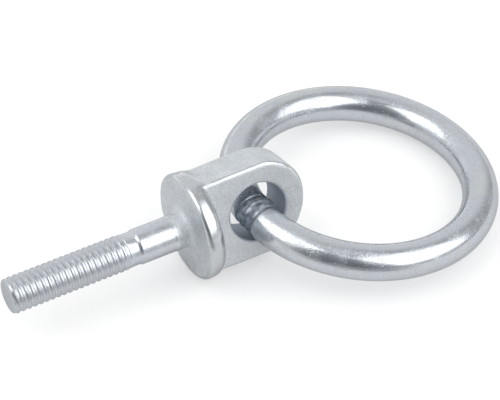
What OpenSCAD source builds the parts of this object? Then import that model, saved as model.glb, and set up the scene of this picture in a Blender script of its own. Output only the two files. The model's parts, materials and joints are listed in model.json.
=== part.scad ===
// Folding tie-down ring: a forged eye bolt that carries a loose round ring.
// It lies on a table: the bolt leans on its collar, and the ring's far side touches the same surface.
// The stud lies along X with its tip at -X. The origin is on the surface, in the middle of the footprint.

/* [Stud] */
// Diameter over the crests of the stud's thread
thread_d = 9.3; // [8.7:0.05:10]
// Diameter of the plain neck next to the collar, which is the stud's full size
neck_d = 9.45; // [8:0.05:11]
// Length of the stud from its tip to the seating face
stud_len = 49.6; // [40:0.1:70]
// Length of the threaded stretch, tip included
thread_len = 28.1; // [12:0.1:32]
// Length of the chamfer at the tip
tip_chamfer = 0.5; // [0.3:0.1:1.5]
// Diameter of the plain blank behind the thread, where the thread was rolled
blank_d = 8.7; // [7.5:0.05:9.2]
// Length of the plain blank between thread and neck
blank_len = 6.9; // [2:0.1:9]
// Length of the slope from the blank up to the neck
neck_slope = 0.7; // [0.3:0.1:1.5]
// Radius of the fillet where the neck meets the collar
neck_fillet_r = 1.2; // [0.4:0.1:2.5]

/* [Collar] */
// Diameter of the collar
collar_d = 28.8; // [27:0.1:36]
// Width of the collar from the seating face to the corner where its back begins
collar_rim_w = 5.7; // [4.6:0.1:7]
// Radius of the rim's edge on the stud side
collar_front_r = 1.3; // [0.3:0.1:1.8]
// Radius of the soft edge between the rim and the back
collar_back_r = 2.2; // [0.5:0.1:2.6]
// How far the forging die tapers the rim towards the eye, in degrees
collar_draft = 6; // [0:0.5:9]
// How far the back slopes up from the rim to the middle, in degrees
collar_back_slope = 11; // [4:0.5:16]

/* [Eye] */
// Thickness of the flat eye
eye_t = 10.75; // [8:0.05:12.5]
// Height of the eye across its two flat edges
eye_h = 26.3; // [24:0.1:28]
// Distance from the seating face to the end of the eye
eye_end = 32.25; // [31:0.05:38]
// How much larger the radius of the eye's round end is than half of its height
eye_end_more = 0.55; // [0.1:0.05:2]
// How much smaller the radius of the end's two shoulders is than half of its height
eye_shoulder_less = 2.85; // [1:0.05:5]
// Radius of the rounding along the eye's edges
eye_edge_r = 1; // [0.3:0.1:1.7]
// Distance from the seating face to the centre of the hole
hole_x = 18.65; // [17.5:0.05:20]
// Diameter of the hole
hole_d = 15.8; // [13.5:0.1:17]
// Radius of the rounding at the hole's two rims
hole_rim_r = 0.6; // [0.2:0.1:1.2]

/* [Ring] */
// Diameter of the ring's round bar
bar_d = 9.5; // [8:0.1:10.3]
// Diameter of the ring along the middle of its bar
ring_mid_d = 64.75; // [62:0.05:80]
// Angle round the ring, from its far side, where the weld starts
weld_start = 181; // [175:1:185]
// Length of the weld between the bar's two ends, along the bar
weld_len = 5.15; // [2.5:0.05:7]
// Diameter of the weld, a little under the bar's
weld_d = 8.6; // [7:0.1:9]
// Width of the raised bead in the middle of the weld
bead_w = 2.05; // [1:0.05:2.4]
// Diameter of the raised bead
bead_d = 9.15; // [8:0.05:9.4]

/* [Rest] */
// How far the bolt leans about its own axis, in degrees
lean = 14.6; // [0:0.1:18]
// Clearance left between the bar and the wall of the hole
ring_play = 0.3; // [0.1:0.05:0.7]
// How far the bar sits ahead of the hole's centre, away from the stud
bar_ahead = 0.3; // [0:0.05:0.6]
// How far the ring has slid round towards the near side
ring_slide = 1.25; // [0:0.05:1.7]

/* [Hidden] */
$fn = 96;
thread_r = thread_d / 2;
neck_r = neck_d / 2;
blank_r = blank_d / 2;
collar_r = collar_d / 2;
ring_r = ring_mid_d / 2;
// The collar's back starts at a corner on the drafted rim, before that corner is rounded
back_corner_r = collar_r - collar_front_r * (1 - cos(collar_draft))
    - (collar_rim_w - collar_front_r * (1 + sin(collar_draft))) * tan(collar_draft);
back_end = collar_rim_w + (back_corner_r - neck_r) * tan(collar_back_slope);
// Radii of the eye's round end and of its two shoulders, and the angle at which they meet
end_r = eye_h / 2 + eye_end_more;
shoulder_r = eye_h / 2 - eye_shoulder_less;
shoulder_turn = asin(eye_shoulder_less / (end_r - shoulder_r));
shoulder_x = eye_end - end_r + (end_r - shoulder_r) * cos(shoulder_turn);
// Straight part of the hole on each side of the eye's middle, up to its rounded rim
hole_half = eye_t / 2 - hole_rim_r;
// The leaning hole lowers one end of its wall, so the bar rests higher at the middle
bar_drop = ((hole_d - bar_d) / 2 - ring_play) * cos(lean) - hole_half * sin(lean);
// Slope of the ring from the hole down to the surface that the collar's rim lies on
ring_pitch = asin((collar_r - bar_drop - bar_d / 2) / ring_mid_d);
// Middle of the ring, and half of its reach along X, seen from the seating face's centre
ring_mid_x = hole_x + bar_ahead + ring_r * cos(ring_pitch);
ring_reach = ring_r * cos(ring_pitch) + bar_d / 2;
// Middle of the whole footprint, seen from the seating face's centre
mid_x = (ring_mid_x + ring_reach - stud_len) / 2;
weld_turn = weld_len / ring_r * 180 / PI;
bead_turn = bead_w / ring_r * 180 / PI;
// How far the weld reaches into each end of the bar, in degrees
weld_lap = 1;
steps = 6;

// Points of an arc about a centre, from one angle to another
function arc(centre, r, from, to) =
    [for (i = [0:steps]) let (a = from + (to - from) * i / steps) centre + r * [cos(a), sin(a)]];

// Arc that rounds the corner between two lines, which are given by the angles of their normals
function rounded(corner, r, a, b) =
    arc(corner - r * [cos(a) + cos(b), sin(a) + sin(b)] / (1 + cos(b - a)), r, a, b);

// Half outline of the turned forms: x is the radius, y the distance along the bolt
function bolt_outline() = concat(
    [[0, -stud_len], [thread_r - tip_chamfer, -stud_len], [thread_r, tip_chamfer - stud_len]],
    [[thread_r, thread_len - stud_len], [blank_r, thread_len - stud_len + thread_r - blank_r]],
    [[blank_r, thread_len + blank_len - stud_len]],
    [[neck_r, thread_len + blank_len + neck_slope - stud_len]],
    rounded([neck_r, 0], -neck_fillet_r, 0, -90),
    arc([collar_r - collar_front_r, collar_front_r], collar_front_r, -90, collar_draft),
    rounded([back_corner_r, collar_rim_w], collar_back_r, collar_draft, 90 - collar_back_slope),
    [[neck_r, back_end], [0, back_end]]
);

// Rectangle with its two outer corners rounded: u runs from 0 out to depth, v across the thickness
function edge_outline(depth) = concat(
    [[0, -eye_t / 2]],
    arc([depth - eye_edge_r, eye_edge_r - eye_t / 2], eye_edge_r, -90, 0),
    arc([depth - eye_edge_r, eye_t / 2 - eye_edge_r], eye_edge_r, 0, 90),
    [[0, eye_t / 2]]
);

// Half outline of the hole and its rounded rims: x is the radius, y runs along the hole
function hole_outline() = concat(
    [[0, -eye_t]],
    [[hole_d / 2 + hole_rim_r, -eye_t], [hole_d / 2 + hole_rim_r, -eye_t / 2]],
    arc([hole_d / 2 + hole_rim_r, -hole_half], hole_rim_r, 270, 180),
    arc([hole_d / 2 + hole_rim_r, hole_half], hole_rim_r, 180, 90),
    [[hole_d / 2 + hole_rim_r, eye_t], [0, eye_t]]
);

// Moves the seating face's centre, where the pieces are drawn from, to its place above the surface
module place() {
    translate([-mid_x, ring_slide, collar_r])
        children();
}

module turned_body() {
    rotate([0, 90, 0])
        rotate_extrude()
            polygon(bolt_outline());
}

// Sector of the eye's round end, about a point at the given distances along and across the eye
module end_sector(x, z, r, from, to) {
    translate([x, 0, z])
        rotate([90, -from, 0])
            rotate_extrude(angle = to - from)
                polygon(edge_outline(r));
}

// One half of the eye above or below its middle. The shoulder runs on inside the round end, whose
// circle touches the shoulder's where the two meet.
module eye_half() {
    translate([collar_rim_w / 2, 0, 0])
        rotate([90, 0, 90])
            linear_extrude(shoulder_x - collar_rim_w / 2)
                rotate(90)
                    polygon(edge_outline(eye_h / 2));
    end_sector(shoulder_x, eye_shoulder_less, shoulder_r, 0, 90);
    end_sector(eye_end - end_r, 0, end_r, 0, shoulder_turn);
}

module eye_blank() {
    eye_half();
    mirror([0, 0, 1])
        eye_half();
}

module eye_hole() {
    translate([hole_x, 0, 0])
        rotate([90, 0, 0])
            rotate_extrude()
                polygon(hole_outline());
}

// One forging: threaded stud, neck, collar and flat eye with a hole across it
module eye_bolt() {
    color([0.72, 0.74, 0.77])
        place()
            rotate([-lean, 0, 0])
                difference() {
                    union() {
                        turned_body();
                        eye_blank();
                    }
                    eye_hole();
                }
}

// Stretch of round bar bent to the ring's circle, over a turn given in degrees
module bent_bar(d, from, turn) {
    rotate([0, 0, from])
        rotate_extrude(angle = turn)
            translate([ring_r, 0])
                circle(d = d);
}

// One bent bar, welded where its two ends meet
module ring() {
    weld_mid = weld_start + weld_turn / 2;
    color([0.78, 0.80, 0.83])
        place()
            translate([hole_x + bar_ahead, -ring_slide, -bar_drop])
                rotate([0, ring_pitch, 0])
                    translate([ring_r, 0, 0]) {
                        bent_bar(bar_d, weld_start + weld_turn, 360 - weld_turn);
                        bent_bar(weld_d, weld_start - weld_lap, weld_turn + 2 * weld_lap);
                        bent_bar(bead_d, weld_mid - bead_turn / 2, bead_turn);
                    }
}

eye_bolt();
ring();
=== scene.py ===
import json
import math

import bmesh
import bpy
import numpy as np
from mathutils import Matrix, Vector


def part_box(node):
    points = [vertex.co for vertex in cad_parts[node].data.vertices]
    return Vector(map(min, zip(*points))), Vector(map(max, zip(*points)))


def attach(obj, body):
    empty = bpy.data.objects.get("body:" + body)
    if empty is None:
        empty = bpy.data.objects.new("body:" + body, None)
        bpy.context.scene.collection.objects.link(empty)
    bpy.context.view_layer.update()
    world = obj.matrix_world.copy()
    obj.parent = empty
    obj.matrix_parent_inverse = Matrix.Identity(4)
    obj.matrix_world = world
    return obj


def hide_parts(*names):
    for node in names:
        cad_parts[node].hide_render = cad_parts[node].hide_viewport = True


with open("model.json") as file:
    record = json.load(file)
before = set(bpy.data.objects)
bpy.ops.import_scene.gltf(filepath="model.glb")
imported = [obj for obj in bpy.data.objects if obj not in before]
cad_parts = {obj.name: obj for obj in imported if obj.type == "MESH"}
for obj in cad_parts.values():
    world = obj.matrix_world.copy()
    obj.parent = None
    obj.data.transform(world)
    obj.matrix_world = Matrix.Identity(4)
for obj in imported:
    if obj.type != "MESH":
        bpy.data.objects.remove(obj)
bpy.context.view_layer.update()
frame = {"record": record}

MM = 0.001

# Stud in millimetres, with the seating face's centre at x = 0 and the tip towards -x
THREAD_PITCH = 1.5875
THREAD_DEPTH = 0.28
THREAD_END = -20.3
THREAD_RUN_OUT = 4.4
TIP_SHORTER = 0.2
TIP_EDGE_R = 1.0
BLANK_R = 4.36
NECK_START = -13.35
NECK_SLOPE = 1.3
NECK_R = 4.725
NECK_BULGE = 0.08
NECK_FILLET = 1.9
NECK_SEAM = -4.2
NECK_END = 1

# Groove of the thread in shares of its pitch: half of the root, and the flank beside it
ROOT_HALF = 0.22
FLANK = 0.12
# Share of the run-out over which the crests fall to the blank
CREST_FALL = 0.625

# Collar in millimetres
RIM_W = 4.75
RIM_DRAFT = math.radians(6)
RIM_FULLER = 0.09
RIM_TOP_LOWER = 0.14
RIM_FRONT_R = 1.55
RIM_BACK_R = 1.8
BACK_SLOPE = math.radians(15)

# Eye in millimetres
EYE_START = 3.5
EYE_T = 10.75
EYE_HALF = 13.25
EYE_END_R = 13.7
END_FULLER_ABOVE = 0.75
END_FULLER_BELOW = 0.55
SHOULDER_R = 10.3
WAIST = 0.2
WAIST_FROM = 17
WAIST_DEEPEST = 8
EYE_EDGE_R = 1.25
FLAT_FILLET = 0.55
EDGE_FILLET = 2.0
HOLE_R = 7.88
HOLE_RIM_R = 0.8

# Unevenness of the forged skin in millimetres, and how far the skin is set back to stay in its form
DENTS = 0.034
FINE_DENTS = 0.014
NECK_LUMPS = 0.045
SKIN_SET_BACK = 0.035

# Ring and its weld in millimetres
BAR_R = 4.75
BAR_UPSET = 0.25
UPSET_REACH = 3
WELD_R = 4.45
WELD_HALF = 2.4
WELD_STEP_BEFORE = 0.7
WELD_STEP_AFTER = 0.9
WELD_BEAD = 0.22
WELD_BEAD_W = 0.6
WELD_FLASH = 0.75
# Turn round the ring to the middle of the weld, and turn about the bar to its flash
WELD_MID = math.radians(184.5)
FLASH_TURN = 2.6

# Fineness of the meshes, with cell and spacings in millimetres
SKIN_CELL = 0.272
STEPS_PER_PITCH = 22
BLANK_SPACING = 0.5
SLOPE_SPACING = 0.12
NECK_RINGS = 18
STUD_SIDES = 80
BAR_SIDES = 56
WELD_RINGS = 96
BAR_RINGS = 340

# Brightness of the plating: its darker and lighter specks, then places with a single tone
SKIN_TONES = 0.53, 0.73
THREAD_TONES = 0.49, 0.63
BAR_TONES = 0.49, 0.60
WELD_TONES = 0.38, 0.66
# The grooves' tone is a painted lift against their shade
GROOVE_LIFTED_TONE = 0.53
TINGE_TONE = 0.56
HOLE_TONE = 0.59

# Roughness of the finishes before their patches are added, and what the polish takes off the forging's
SKIN_ROUGHNESS = 0.48
POLISH_LESS_ROUGH = 0.34
THREAD_ROUGHNESS = 0.20
BAR_ROUGHNESS = 0.17
WELD_ROUGHNESS = 0.34

# How much less blue the forging and the tinge on the bar are than plain plating
SKIN_WARMTH = 0.15
TINGE_WARMTH = 0.3

# Depth of the bumps in millimetres
GRAIN_DEPTH = 0.035
PIT_DEPTH = 0.05

# Share of the grazing light that the plating's grain lets through
GRAZING_SHARE = 0.72

# Camera, from the outlines in the photograph: its view turns from +Y towards +X and tilts, in degrees
CAMERA_TURN = 29.3
CAMERA_TILT = -43.88
CAMERA_DISTANCE = 0.5658
CAMERA_AIM = Vector((0.000546, 0.002542, 0.013943))
CAMERA_LENS = 158.4
CAMERA_SENSOR = 36

# Lamps: distance from the origin in metres, and radiance
LAMP_DISTANCE = 0.63
LAMP_RADIANCE = 1.7

# Half of the table's side in metres, and how far it lies below the part in millimetres
TABLE_HALF = 3.0
TABLE_DROP = 0.02

record = frame["record"]
mounts = {mount["name"]: mount for mount in record["mounts"]}
fold = record["behaviour"]["joints"][0]
hole_centre = Vector(fold["pos_m"])
hole_axis = Vector(fold["axis"]).normalized()
lean = math.atan2(-hole_axis.z, hole_axis.y)
seat_x = mounts["seat"]["pos_m"][0]
seat_centre = Vector((seat_x, hole_centre.y, hole_centre.z))
bolt_low, bolt_high = (Vector(corner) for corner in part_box("eye_bolt"))
ring_low, ring_high = (Vector(corner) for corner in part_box("ring"))

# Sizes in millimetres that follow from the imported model
STUD_R = mounts["stud"]["dims"]["r_mm"]
TIP_X = (bolt_low.x - seat_x) / MM + TIP_SHORTER
COLLAR_R = (bolt_high.z - bolt_low.z) / 2 / MM
BACK_CORNER = COLLAR_R - RIM_W * math.tan(RIM_DRAFT) + RIM_FULLER
EYE_END = (bolt_high.x - seat_x) / MM
HOLE_X = (hole_centre.x - seat_x) / MM
RING_R = (ring_high.y - ring_low.y) / 2 / MM - BAR_R
RING_PITCH = math.asin(((ring_high.z - ring_low.z) / MM / 2 - BAR_R) / RING_R)


class Value:
    """A socket in a shader: Python's operators add Math nodes."""

    def __init__(self, graph, socket):
        self.graph = graph
        self.socket = socket

    def maths(self, operation, *others):
        """A Math node on this value and others."""
        inputs = dict(enumerate((self, *others)))
        return self.graph.add("ShaderNodeMath", {"operation": operation}, inputs)

    def __add__(self, other):
        return self.maths("ADD", other)

    def __mul__(self, other):
        return self.maths("MULTIPLY", other)

    def __sub__(self, other):
        return self.maths("SUBTRACT", other)

    def __rsub__(self, other):
        return self.graph.add("ShaderNodeMath", {"operation": "SUBTRACT"}, {0: other, 1: self})

    __radd__ = __add__
    __rmul__ = __mul__

    def step(self, start, end):
        """0 up to start, 1 from end on, and smooth between them; falls where start is above end."""
        settings = {"interpolation_type": "SMOOTHSTEP"}
        inputs = {"Value": self, "From Min": start, "From Max": end}
        return self.graph.add("ShaderNodeMapRange", settings, inputs)


class Graph:
    """The node tree of a material or a world."""

    def __init__(self, owner):
        owner.use_nodes = True
        self.tree = owner.node_tree
        self.tree.nodes.clear()

    def add(self, kind, settings=None, inputs=None, output=0):
        """A node with its settings and the values or links of its sockets; gives one of its outputs."""
        node = self.tree.nodes.new(kind)
        for name, value in (settings or {}).items():
            setattr(node, name, value)
        for name, value in (inputs or {}).items():
            if isinstance(value, Value):
                self.tree.links.new(value.socket, node.inputs[name])
            else:
                node.inputs[name].default_value = value
        return Value(self, node.outputs[output]) if len(node.outputs) else None

    def vector(self, operation, a, b=None, output=0):
        """A Vector Math node on one or two vectors."""
        inputs = {0: a} if b is None else {0: a, 1: b}
        return self.add("ShaderNodeVectorMath", {"operation": operation}, inputs, output)

    def noise(self, point, size, detail=2.0, roughness=0.5):
        """Noise with features of about the given size in millimetres."""
        inputs = {"Vector": point, "Scale": 1 / (size * MM), "Detail": detail, "Roughness": roughness}
        return self.add("ShaderNodeTexNoise", {}, inputs, "Fac")

    def bump(self, strength, depth, height):
        """A normal from a height, with the depth in millimetres of a height of 1."""
        inputs = {"Strength": strength, "Distance": depth * MM, "Height": height}
        return self.add("ShaderNodeBump", {}, inputs)

    def blend(self, factor, low, high):
        """A colour between two others."""
        inputs = {"Factor": factor, 6: low, 7: high}
        return self.add("ShaderNodeMix", {"data_type": "RGBA"}, inputs, 2)

    def metal(self, colour, roughness, bump):
        """Metal whose grazing reflections are held back by the plating's fine grain."""
        inputs = {
            "Base Color": colour,
            "Metallic": 1.0,
            "Roughness": roughness,
            "Specular Tint": (GRAZING_SHARE, GRAZING_SHARE, GRAZING_SHARE, 1.0),
            "Normal": bump,
        }
        surface = self.add("ShaderNodeBsdfPrincipled", {}, inputs)
        self.add("ShaderNodeOutputMaterial", {}, {"Surface": surface})


def new_material(name):
    """A material, its node tree, and the shaded point in the piece's own coordinates."""
    material = bpy.data.materials.new(name)
    graph = Graph(material)
    return material, graph, graph.add("ShaderNodeTexCoord", {}, {}, "Object")


def plating(tone, warmth=0.0):
    """The plating's colour: a little blue, or less so where warmth is above 0."""
    red = tone * (0.955 + 0.06 * warmth)
    green = tone * (1.0 + 0.012 * warmth)
    blue = tone * (1.065 - 0.18 * warmth)
    return (red, green, blue, 1.0)


def dull(tone):
    """The thinner plating's colour in the hole and on the weld."""
    return (tone * 0.90, tone * 0.99, tone * 1.09, 1.0)


def grey(level):
    """A neutral grey, for the table."""
    return (level, level, level, 1.0)


def bolt_place(graph, point):
    """Millimetres from the seating face's centre: along the bolt, through the eye, and up the eye."""
    offset = graph.vector("SUBTRACT", point, seat_centre)
    axes = (1, 0, 0), hole_axis, (0, math.sin(lean), math.cos(lean))
    return [graph.vector("DOT_PRODUCT", offset, axis, "Value") * (1 / MM) for axis in axes]


def from_axis(a, b):
    """Distance from an axis, from the distances along two lines square to it."""
    return (a * a + b * b).maths("SQRT")


def forged_grain(graph, point, strength, extra):
    """The forged skin's grain: its fine specks and a slow mottle, from 0 to 1, and the bump."""
    grain = graph.noise(point, size=0.42, detail=3.0, roughness=0.65)
    mottle = graph.noise(point, size=3.0, detail=3.0)
    height = grain * 0.75 + graph.noise(point, size=1.1) * 0.6 + mottle * 0.9 + extra
    bump = graph.bump(strength, GRAIN_DEPTH, height)
    speck = (grain * 0.7 + mottle * 0.3).step(0.30, 0.70)
    return speck, mottle, bump


def plated_forging():
    """Bright plating over a forged skin: satin flats, polished edges and neck, and a duller hole."""
    material, graph, point = new_material("plated_forging")
    x, y, z = bolt_place(graph, point)
    rho = from_axis(y, z)
    side = y.maths("ABSOLUTE")
    # Masks, with their places in millimetres: past the hole's rim, the collar's rim, the eye's rounded
    # edges, the neck, and its fillet
    outside = from_axis(x - HOLE_X, z).step(HOLE_R + 0.05, HOLE_R + 0.65)
    rim = rho.step(COLLAR_R - 1.4, COLLAR_R - 0.9) * (1 - x.step(5.0, 5.8))
    edge = x.step(6.0, 7.5) * side.step(4.0, 4.6) * (1 - side.step(5.08, 5.27)) * outside
    neck = (1 - x.step(-4.8, -2.2)) * (1 - rho.step(4.9, 6.4))
    fillet = x.step(-3.4, -1.6) * (1 - x.step(0.0, 0.6)) * (1 - rho.step(6.0, 8.4))
    polish = rim.maths("MAXIMUM", edge).maths("MAXIMUM", neck)
    coarse = graph.noise(point, size=0.7) * 3.0 * fillet
    speck, mottle, bump = forged_grain(graph, point, strength=0.6, extra=coarse)
    darker, lighter = (plating(tone, SKIN_WARMTH) for tone in SKIN_TONES)
    # The collar's rim is a darker tone; the neck's fillet is painted a little lighter, painted light
    # against the dark it reflects
    skin = graph.blend(speck - 0.6 * rim + 0.2 * fillet, darker, lighter)
    colour = graph.blend(outside, dull(HOLE_TONE), skin)
    roughness = SKIN_ROUGHNESS + 0.20 * mottle + 0.10 * fillet - POLISH_LESS_ROUGH * polish
    graph.metal(colour, roughness, bump)
    return material


def plated_thread():
    """The same plating on the rolled thread: polished crests, and satin grooves."""
    material, graph, point = new_material("plated_thread")
    x, y, z = bolt_place(graph, point)
    threaded = 1 - x.step(THREAD_END - 0.5, THREAD_END + 3.5)
    groove = 1 - from_axis(y, z).step(STUD_R - 0.34, STUD_R - 0.05)
    groove = groove * threaded * x.step(TIP_X + 0.3, TIP_X + 0.9)
    # Fine marks that run round the stud
    around = graph.vector("MULTIPLY", point, (1.0, 0.12, 0.12))
    drawn = graph.noise(around, size=0.45) * threaded
    speck, mottle, bump = forged_grain(graph, point, strength=0.8, extra=4.0 * drawn)
    darker, lighter = (plating(tone) for tone in THREAD_TONES)
    skin = graph.blend(speck - 0.6 * threaded, darker, lighter)
    # The grooves are painted a little lighter than the crests, painted light against their shade
    colour = graph.blend(groove, skin, plating(GROOVE_LIFTED_TONE))
    graph.metal(colour, THREAD_ROUGHNESS + 0.14 * mottle + 0.06 * groove, bump)
    return material


def plated_bar():
    """Bright plating on drawn bar: glossy, with fine pits and a faint yellow in places."""
    material, graph, point = new_material("plated_bar")
    grain = graph.noise(point, size=0.34, detail=3.0, roughness=0.6)
    rough_patch = graph.noise(point, size=5.0, detail=3.0).step(0.42, 0.64)
    pits = graph.noise(point, size=0.60).step(0.58, 0.72)
    tinge = graph.noise(point, size=9.0, detail=1.0).step(0.58, 0.80)
    darker, lighter = (plating(tone) for tone in BAR_TONES)
    plain = graph.blend(grain.step(0.30, 0.72), darker, lighter)
    colour = graph.blend(tinge, plain, plating(TINGE_TONE, TINGE_WARMTH))
    height = grain * (0.3 + 0.7 * rough_patch) - pits * (0.3 + 0.9 * rough_patch)
    bump = graph.bump(strength=0.65, depth=PIT_DEPTH, height=height)
    graph.metal(colour, BAR_ROUGHNESS + 0.12 * rough_patch + 0.08 * pits, bump)
    return material


def plated_weld():
    """Thin, dull plating over the weld's scaly surface."""
    material, graph, point = new_material("plated_weld")
    grain = graph.noise(point, size=0.40, detail=3.0, roughness=0.65)
    scale = graph.noise(point, size=1.3, detail=3.0)
    darker, lighter = (dull(tone) for tone in WELD_TONES)
    colour = graph.blend(scale.step(0.35, 0.65), darker, lighter)
    bump = graph.bump(strength=0.5, depth=PIT_DEPTH, height=grain * 0.8 + scale * 1.6)
    graph.metal(colour, WELD_ROUGHNESS + 0.2 * grain, bump)
    return material


def ramp(value, start, end):
    """0 up to start, 1 from end on, and straight between them; falls where start is above end."""
    return np.clip((value - start) / (end - start), 0, 1)


def ease(share):
    """A share from 0 to 1 with a smooth start and end."""
    return share * share * (3 - 2 * share)


def hump(value, middle, width):
    """A smooth hump: 1 at its middle, and about a third of that at its width to either side."""
    return np.exp(-(((value - middle) / width) ** 2))


def round_meet(a, b, r):
    """Where two solids overlap, with the edge between them rounded."""
    return np.minimum(np.maximum(a, b), -r) + np.hypot(np.maximum(a + r, 0), np.maximum(b + r, 0))


def soft_join(a, b, reach):
    """Two solids together, with a soft fillet in the corner between them."""
    return np.minimum(a, b) - np.maximum(reach - np.abs(a - b), 0) ** 2 / (4 * reach)


def eye_outline(x, z):
    """Distance to the eye's outline in its plane: waisted edges, and a round end, fuller at the top."""
    centre = EYE_END - EYE_END_R
    shoulder_z = EYE_HALF - SHOULDER_R
    shoulder_turn = math.asin(shoulder_z / (EYE_END_R - SHOULDER_R))
    shoulder_x = centre + (EYE_END_R - SHOULDER_R) * math.cos(shoulder_turn)
    height = np.abs(z)
    flat = height - EYE_HALF + WAIST * ramp(x, WAIST_FROM, WAIST_DEEPEST) ** 2
    shoulder = np.hypot(x - shoulder_x, height - shoulder_z) - SHOULDER_R
    end = np.hypot(x - centre, z) - EYE_END_R
    distance = np.where(x < shoulder_x, flat, shoulder)
    distance = np.where(height < math.tan(shoulder_turn) * (x - centre), end, distance)
    turn = np.arctan2(z, np.maximum(x - centre, 0))
    fuller = np.where(turn > 0, END_FULLER_ABOVE, END_FULLER_BELOW)
    return distance - fuller * np.sin(2 * turn) * np.cos(turn)


def forging_distance(x, y, z):
    """Distance to the forging's skin in millimetres, below 0 inside: neck, collar and eye."""
    rho = np.hypot(y, z)
    rim = (rho - BACK_CORNER) * math.cos(RIM_DRAFT) + (x - RIM_W) * math.sin(RIM_DRAFT)
    rim = rim + RIM_TOP_LOWER * np.clip(z / (rho + 1), 0, 1) ** 4
    back = (rho - BACK_CORNER) * math.sin(BACK_SLOPE) + (x - RIM_W) * math.cos(BACK_SLOPE)
    collar = round_meet(round_meet(rim, -x, RIM_FRONT_R), back, RIM_BACK_R)
    eye = round_meet(eye_outline(x, z), np.abs(y) - EYE_T / 2, EYE_EDGE_R)
    eye = np.maximum(eye, EYE_START - x)
    # The fillet between collar and eye is tight on the flats and wide along the narrow edges
    at_edge = ramp(np.abs(z), 10, 13) * ramp(np.abs(y), 7.5, 3.5)
    body = soft_join(collar, eye, FLAT_FILLET + (EDGE_FILLET - FLAT_FILLET) * at_edge)
    body = round_meet(body, HOLE_R - np.hypot(x - HOLE_X, z), HOLE_RIM_R)
    neck = np.maximum(rho - NECK_R, x - NECK_END)
    return soft_join(body, neck, NECK_FILLET)


def uneven(points, size, seed):
    """Gentle waves of about the given size over a set of points, from -1 to 1."""
    waves = 7
    total = np.zeros(len(points))
    turns = np.random.default_rng(seed)
    for _ in range(waves):
        heading = turns.normal(size=3)
        heading *= (0.7 + 0.6 * turns.random()) * 2 * math.pi / size / np.linalg.norm(heading)
        total += np.sin(points @ heading + turns.random() * 2 * math.pi)
    return total / waves


def forged_unevenness(points):
    """How far the forged skin stands out of its true form, in millimetres: nothing at the seam."""
    x = points[:, 0]
    rho = np.hypot(points[:, 1], points[:, 2])
    at_neck = hump(rho, NECK_R + 1.2, 1.8) * (x < NECK_END)
    dents = DENTS * uneven(points, 8.0, 3) + FINE_DENTS * uneven(points, 2.5, 8)
    lumps = NECK_LUMPS * uneven(points, 1.9, 11) * at_neck
    return (dents + lumps - SKIN_SET_BACK) * ramp(x, NECK_SEAM, NECK_SEAM + 2)


def skin_mesh(distance, low, high, cell):
    """Vertices and quads of the surface where distance is 0: a vertex in each cell of a grid that the
    surface passes through, and a quad round each edge of the grid that it crosses."""
    axes = [np.arange(a, b + cell, cell) for a, b in zip(low, high)]
    values = distance(*np.meshgrid(*axes, indexing="ij"))
    solid = values < 0
    corners = [slice(0, -1), slice(1, None)]
    count = sum(solid[i, j, k].astype(np.int8) for i in corners for j in corners for k in corners)
    mixed = (count > 0) & (count < 8)
    index = np.full(mixed.shape, -1)
    index[mixed] = np.arange(mixed.sum())
    points = np.argwhere(mixed) * cell + np.array([axis[0] for axis in axes]) + cell / 2
    quads = []
    for axis in range(3):
        first, second = (axis + 1) % 3, (axis + 2) % 3
        lower, upper = [slice(None)] * 3, [slice(None)] * 3
        lower[axis], upper[axis] = slice(0, -1), slice(1, None)
        for other in (first, second):
            lower[other] = upper[other] = slice(1, -1)
        inside, outside = solid[tuple(lower)], solid[tuple(upper)]
        for crossing, flip in ((inside & ~outside, False), (~inside & outside, True)):
            place = np.argwhere(crossing)
            place[:, first] += 1
            place[:, second] += 1
            quad = []
            for a, b in ((1, 1), (0, 1), (0, 0), (1, 0)):
                cell_place = place.copy()
                cell_place[:, first] -= a
                cell_place[:, second] -= b
                quad.append(index[tuple(cell_place.T)])
            quads.append(np.stack(quad[::-1] if flip else quad, axis=1))
    return points, np.concatenate(quads)


def onto_skin(distance, points):
    """Moves points along the distance's slope until they lie on the surface, and gives their normals."""
    rounds, step, least_slope = 5, 0.01, 0.2
    for _ in range(rounds):
        here = distance(*points.T)
        beyond = [distance(*(points + step * axis).T) for axis in np.eye(3)]
        slope = np.stack([there - here for there in beyond], axis=1) / step
        length = np.maximum(np.linalg.norm(slope, axis=1, keepdims=True), least_slope)
        points = points - here[:, None] * slope / length**2
    return points, slope / length


def stud_radius(x, turn):
    """Radius of the stud at a distance along it and a turn about it, both as arrays."""
    phase = np.mod(x / THREAD_PITCH - turn / (2 * math.pi), 1.0)
    groove = 1 - ease(ramp(np.abs(phase - 0.5), ROOT_HALF, ROOT_HALF + FLANK))
    fade = ramp(x, THREAD_END + THREAD_RUN_OUT, THREAD_END)
    crest = BLANK_R + (STUD_R - BLANK_R) * np.clip(fade / CREST_FALL, 0, 1)
    threaded = crest - THREAD_DEPTH * groove * fade
    climb = ease(ramp(x, NECK_START - NECK_SLOPE, NECK_START))
    bulge = NECK_BULGE * hump(x, NECK_START + 0.5, 0.6) * climb
    plain = BLANK_R + (NECK_R - BLANK_R) * climb + bulge
    inset = np.clip(TIP_EDGE_R - (x - TIP_X), 0, TIP_EDGE_R)
    tip = STUD_R - TIP_EDGE_R + np.sqrt(TIP_EDGE_R**2 - inset**2)
    return np.minimum(np.where(fade > 0, threaded, plain), tip)


def tube_quads(rings, sides, closed=False):
    """Corners of the quads between one ring of points and the next, for each ring in turn."""
    quads = []
    for ring in range(rings if closed else rings - 1):
        here, there = ring * sides, (ring + 1) % rings * sides
        for side in range(sides):
            beside = (side + 1) % sides
            quads.append((here + side, here + beside, there + beside, there + side))
    return quads


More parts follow.
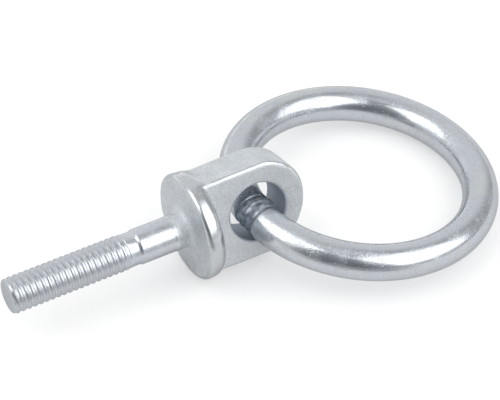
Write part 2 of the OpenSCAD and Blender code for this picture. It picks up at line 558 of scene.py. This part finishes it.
def stud_mesh():
    """Points and faces of the stud from its tip to the seam on the neck, in rings round its axis."""
    stations = np.arange(TIP_X, THREAD_END + THREAD_RUN_OUT, THREAD_PITCH / STEPS_PER_PITCH)
    # Each further stretch: gap to its first ring, its end, and the spacing of its rings
    blank = 0.3, NECK_START - 1.2, BLANK_SPACING
    slope = 0.15, NECK_START + 1.6, SLOPE_SPACING
    for gap, end, spacing in (blank, slope):
        stations = np.append(stations, np.arange(stations[-1] + gap, end, spacing))
    stations = np.append(stations, np.linspace(stations[-1] + 0.4, NECK_SEAM - 0.3, NECK_RINGS))
    turns = np.arange(STUD_SIDES) * 2 * math.pi / STUD_SIDES
    x, turn = np.meshgrid(stations, turns, indexing="ij")
    radius = stud_radius(x, turn)
    points = np.stack((x, radius * np.cos(turn), radius * np.sin(turn)), axis=-1)
    tip_face = tuple(range(STUD_SIDES))[::-1]
    return points.reshape(-1, 3), [tip_face] + tube_quads(len(stations), STUD_SIDES)


def add_faces(bm, points, faces):
    """Adds points and the faces between them to a mesh, and gives the faces."""
    verts = [bm.verts.new(point) for point in points]
    return [bm.faces.new([verts[corner] for corner in face]) for face in faces]


def new_object(name, data):
    """An object in the scene that holds a mesh, a lamp or a camera."""
    obj = bpy.data.objects.new(name, data)
    bpy.context.scene.collection.objects.link(obj)
    return obj


def new_piece(name, bm, materials):
    """An object from a mesh and its materials."""
    mesh = bpy.data.meshes.new(name)
    bm.to_mesh(mesh)
    bm.free()
    for material in materials:
        mesh.materials.append(material)
    return new_object(name, mesh)


def new_metal_piece(name, bm, place, materials, sharp_angle):
    """A piece from a mesh in millimetres, set in its place in metres, smooth but for its sharp edges."""
    bmesh.ops.recalc_face_normals(bm, faces=bm.faces[:])
    bmesh.ops.transform(bm, matrix=place @ Matrix.Scale(MM, 4), verts=bm.verts[:])
    obj = new_piece(name, bm, materials)
    obj.data.shade_smooth()
    obj.data.set_sharp_from_angle(angle=math.radians(sharp_angle))
    return obj


def bolt_forging(materials):
    """One skin over the whole bolt: the stud's rings joined to the forged body at a seam on the neck."""
    low = (NECK_SEAM - 4 * SKIN_CELL, -COLLAR_R - SKIN_CELL, -COLLAR_R - SKIN_CELL)
    high = (EYE_END + 2 * SKIN_CELL, COLLAR_R + 2 * SKIN_CELL, COLLAR_R + 2 * SKIN_CELL)
    points, quads = skin_mesh(forging_distance, low, high, SKIN_CELL)
    points, normals = onto_skin(forging_distance, points)
    points = points + normals * forged_unevenness(points)[:, None]
    bm = bmesh.new()
    add_faces(bm, points, quads)
    body = bm.verts[:] + bm.edges[:] + bm.faces[:]
    cut = {"plane_co": (NECK_SEAM, 0, 0), "plane_no": (-1, 0, 0)}
    bmesh.ops.bisect_plane(bm, geom=body, clear_outer=True, **cut)
    stud = add_faces(bm, *stud_mesh())
    seam = [edge for edge in bm.edges if edge.is_boundary]
    joined = bmesh.ops.bridge_loops(bm, edges=seam)
    for face in stud + joined["faces"]:
        face.material_index = 1
    place = Matrix.Translation(seat_centre) @ Matrix.Rotation(-lean, 4, "X")
    return new_metal_piece("bolt_forging", bm, place, materials, sharp_angle=50)


def bar_radius(along, turn):
    """Radius of the ring's bar, by the distance from the weld's middle and the turn about the bar."""
    past = np.abs(along) - WELD_HALF
    step_length = np.where(along < 0, WELD_STEP_BEFORE, WELD_STEP_AFTER)
    edge = np.clip(past / step_length, 0, 1)
    inner = np.clip(np.cos(turn - FLASH_TURN), 0, 1) ** 1.5
    upset = BAR_UPSET * inner * np.clip(1 - past / UPSET_REACH, 0, 1)
    bar = BAR_R + upset - (BAR_R + upset - WELD_R) * (1 - edge) ** 2 * (1 + 2 * edge)
    # The bead wanders along the weld among lumps, and the flash swells on the weld's inner upper side
    middle = 0.35 * np.sin(turn) + 0.2 * np.sin(3 * turn + 1) - 0.9
    bead = WELD_BEAD * hump(along, middle, WELD_BEAD_W)
    lumps = 0.035 * np.sin(4 * turn + 2.3 * along) + 0.02 * np.sin(7 * turn - 3.4 * along + 1)
    flash = WELD_FLASH * inner * np.cos(along / WELD_HALF * math.pi / 2.6)
    scaly = bar + bead + lumps
    weld = np.where(inner > 0, scaly + flash, np.minimum(scaly, BAR_R))
    return bar + (weld - bar) * (1 - edge)


def welded_ring(materials):
    """A bar swept round the ring's circle, with its rings of points closer together at the weld."""
    fine_turn = 2.2 * WELD_HALF / RING_R
    fine = np.linspace(-fine_turn, fine_turn, WELD_RINGS)
    coarse = np.linspace(fine_turn, 2 * math.pi - fine_turn, BAR_RINGS)[1:-1]
    angles = np.concatenate((fine, coarse))
    turns = np.arange(BAR_SIDES) * 2 * math.pi / BAR_SIDES
    angle, turn = np.meshgrid(angles, turns, indexing="ij")
    along = np.where(angle > math.pi, angle - 2 * math.pi, angle) * RING_R
    radius = bar_radius(along, turn)
    out = RING_R + radius * np.cos(turn)
    heading = angle + WELD_MID
    points = np.stack((out * np.cos(heading), out * np.sin(heading), radius * np.sin(turn)), axis=-1)
    bm = bmesh.new()
    faces = add_faces(bm, points.reshape(-1, 3), tube_quads(len(angles), BAR_SIDES, closed=True))
    in_weld = np.abs(along[:, 0]) < WELD_HALF + 0.1
    for number, face in enumerate(faces):
        face.material_index = int(in_weld[number // BAR_SIDES])
    place = Matrix.Translation((ring_low + ring_high) / 2) @ Matrix.Rotation(RING_PITCH, 4, "Y")
    return new_metal_piece("welded_ring", bm, place, materials, sharp_angle=60)


def direction(turn, tilt):
    """Unit vector from a turn in degrees, from +Y towards +X, and a tilt in degrees above level."""
    turn, tilt = math.radians(turn), math.radians(tilt)
    return Vector((math.sin(turn) * math.cos(tilt), math.cos(turn) * math.cos(tilt), math.sin(tilt)))


def studio_world():
    """A pale tent round the table, darker towards the camera, as the metal's reflections show it."""
    world = bpy.data.worlds.new("studio")
    bpy.context.scene.world = world
    graph = Graph(world)
    view = graph.add("ShaderNodeTexCoord", {}, {}, "Generated")

    def towards(turn, tilt, inner, outer):
        """1 within inner degrees of a direction, 0 past outer degrees."""
        along = graph.vector("DOT_PRODUCT", view, direction(turn, tilt), "Value")
        return along.step(math.cos(math.radians(outer)), math.cos(math.radians(inner)))

    # Brighter parts: behind the part, high on the left, round the right softbox, and low on the left
    level = 0.57 + 0.45 * towards(15, 22, 22, 58)
    level = level + 0.35 * towards(-60, 72, 10, 35) + 0.2 * towards(143, 43, 25, 50)
    level = level + 0.34 * towards(-62, 4, 22, 58)
    # Darker parts: low in front, below the camera, and above the camera
    level = level * (1 - 0.53 * towards(-141, 8, 18, 44)) * (1 - 0.30 * towards(-150, 60, 8, 30))
    # A bright seam all round where the tent meets the table, which is wider behind the part
    height = graph.add("ShaderNodeSeparateXYZ", {}, {"Vector": view}, "Z").maths("ABSOLUTE")
    behind = 0.7 * height.step(0.10, 0.02) * towards(15, 0, 35, 60)
    level = level + behind + 0.8 * height.step(0.05, 0.02)
    colour = graph.blend(level.step(0.15, 0.75), (0.90, 0.94, 1.0, 1.0), (0.99, 0.995, 1.0, 1.0))
    background = graph.add("ShaderNodeBackground", {}, {"Color": colour, "Strength": level})
    graph.add("ShaderNodeOutputWorld", {}, {"Surface": background})


def set_around(obj, aim, heading, distance):
    """Puts a lamp or the camera on a heading from a point, and turns it to face that point."""
    obj.location = aim + heading * distance
    obj.rotation_euler = heading.to_track_quat("Z", "Y").to_euler()


def softbox(name, turn, tilt, width, height):
    """A flat lamp of a size in metres that faces the part."""
    lamp = bpy.data.lights.new(name, "AREA")
    lamp.shape = "RECTANGLE"
    lamp.size = width
    lamp.size_y = height
    lamp.energy = LAMP_RADIANCE * math.pi * width * height
    set_around(new_object(name, lamp), Vector(), direction(turn, tilt), LAMP_DISTANCE)


def table():
    """Pale table top: it shows near white to the camera and in the metal, keeps the shadow, and has
    painted shade in the metal's reflections.
    """
    material, graph, point = new_material("table")
    rays = graph.add("ShaderNodeLightPath", {}, {}, "Is Camera Ray")
    glossy = Value(graph, rays.socket.node.outputs["Is Glossy Ray"])
    through = Value(graph, rays.socket.node.outputs["Is Transmission Ray"])
    seen = rays.maths("MAXIMUM", glossy).maths("MAXIMUM", through)
    length = graph.vector("LENGTH", point, output="Value")
    far = length.step(0.25, 0.9)
    # Painted shade seen only in the metal: the table a little darker, a painted contact shadow at the
    # collar's foot, and darkest in front
    heading = graph.vector("NORMALIZE", point)
    front = graph.vector("DOT_PRODUCT", heading, direction(-155, 0), "Value").step(0.62, 0.92)
    painted_front_shade = glossy * front * length.step(0.05, 0.12)
    foot = Vector((seat_x, hole_centre.y, 0))
    from_foot = graph.vector("DISTANCE", point, foot, "Value")
    painted_foot_shade = glossy * (0.12 + 0.30 * (1 - from_foot.step(0.004, 0.022)))
    matte = graph.add("ShaderNodeBsdfDiffuse", {}, {"Color": graph.blend(painted_front_shade, grey(0.52), grey(0.28))})
    glow = seen * (0.45 + 0.4 * far) * (1 - 0.92 * painted_front_shade) * (1 - painted_foot_shade)
    lift = graph.add("ShaderNodeEmission", {}, {"Color": graph.blend(glow, grey(0.0), grey(1.0))})
    surface = graph.add("ShaderNodeAddShader", {}, {0: matte, 1: lift})
    graph.add("ShaderNodeOutputMaterial", {}, {"Surface": surface})
    bm = bmesh.new()
    bmesh.ops.create_grid(bm, x_segments=1, y_segments=1, size=TABLE_HALF)
    obj = new_piece("table", bm, [material])
    obj.location.z = -TABLE_DROP * MM


def camera():
    lens = bpy.data.cameras.new("camera")
    lens.lens = CAMERA_LENS
    lens.sensor_width = CAMERA_SENSOR
    lens.clip_start = 0.01
    obj = new_object("camera", lens)
    set_around(obj, CAMERA_AIM, -direction(CAMERA_TURN, CAMERA_TILT), CAMERA_DISTANCE)
    bpy.context.scene.camera = obj


camera()
studio_world()
softbox("left_softbox", -79, 54, 0.46, 0.54)
softbox("right_softbox", 143, 43, 0.70, 0.62)
table()
bpy.context.scene.view_settings.view_transform = "Standard"

forging = bolt_forging([plated_forging(), plated_thread()])
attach(forging, "bolt")
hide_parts("eye_bolt")

hoop = welded_ring([plated_bar(), plated_weld()])
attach(hoop, "ring")
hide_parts("ring")
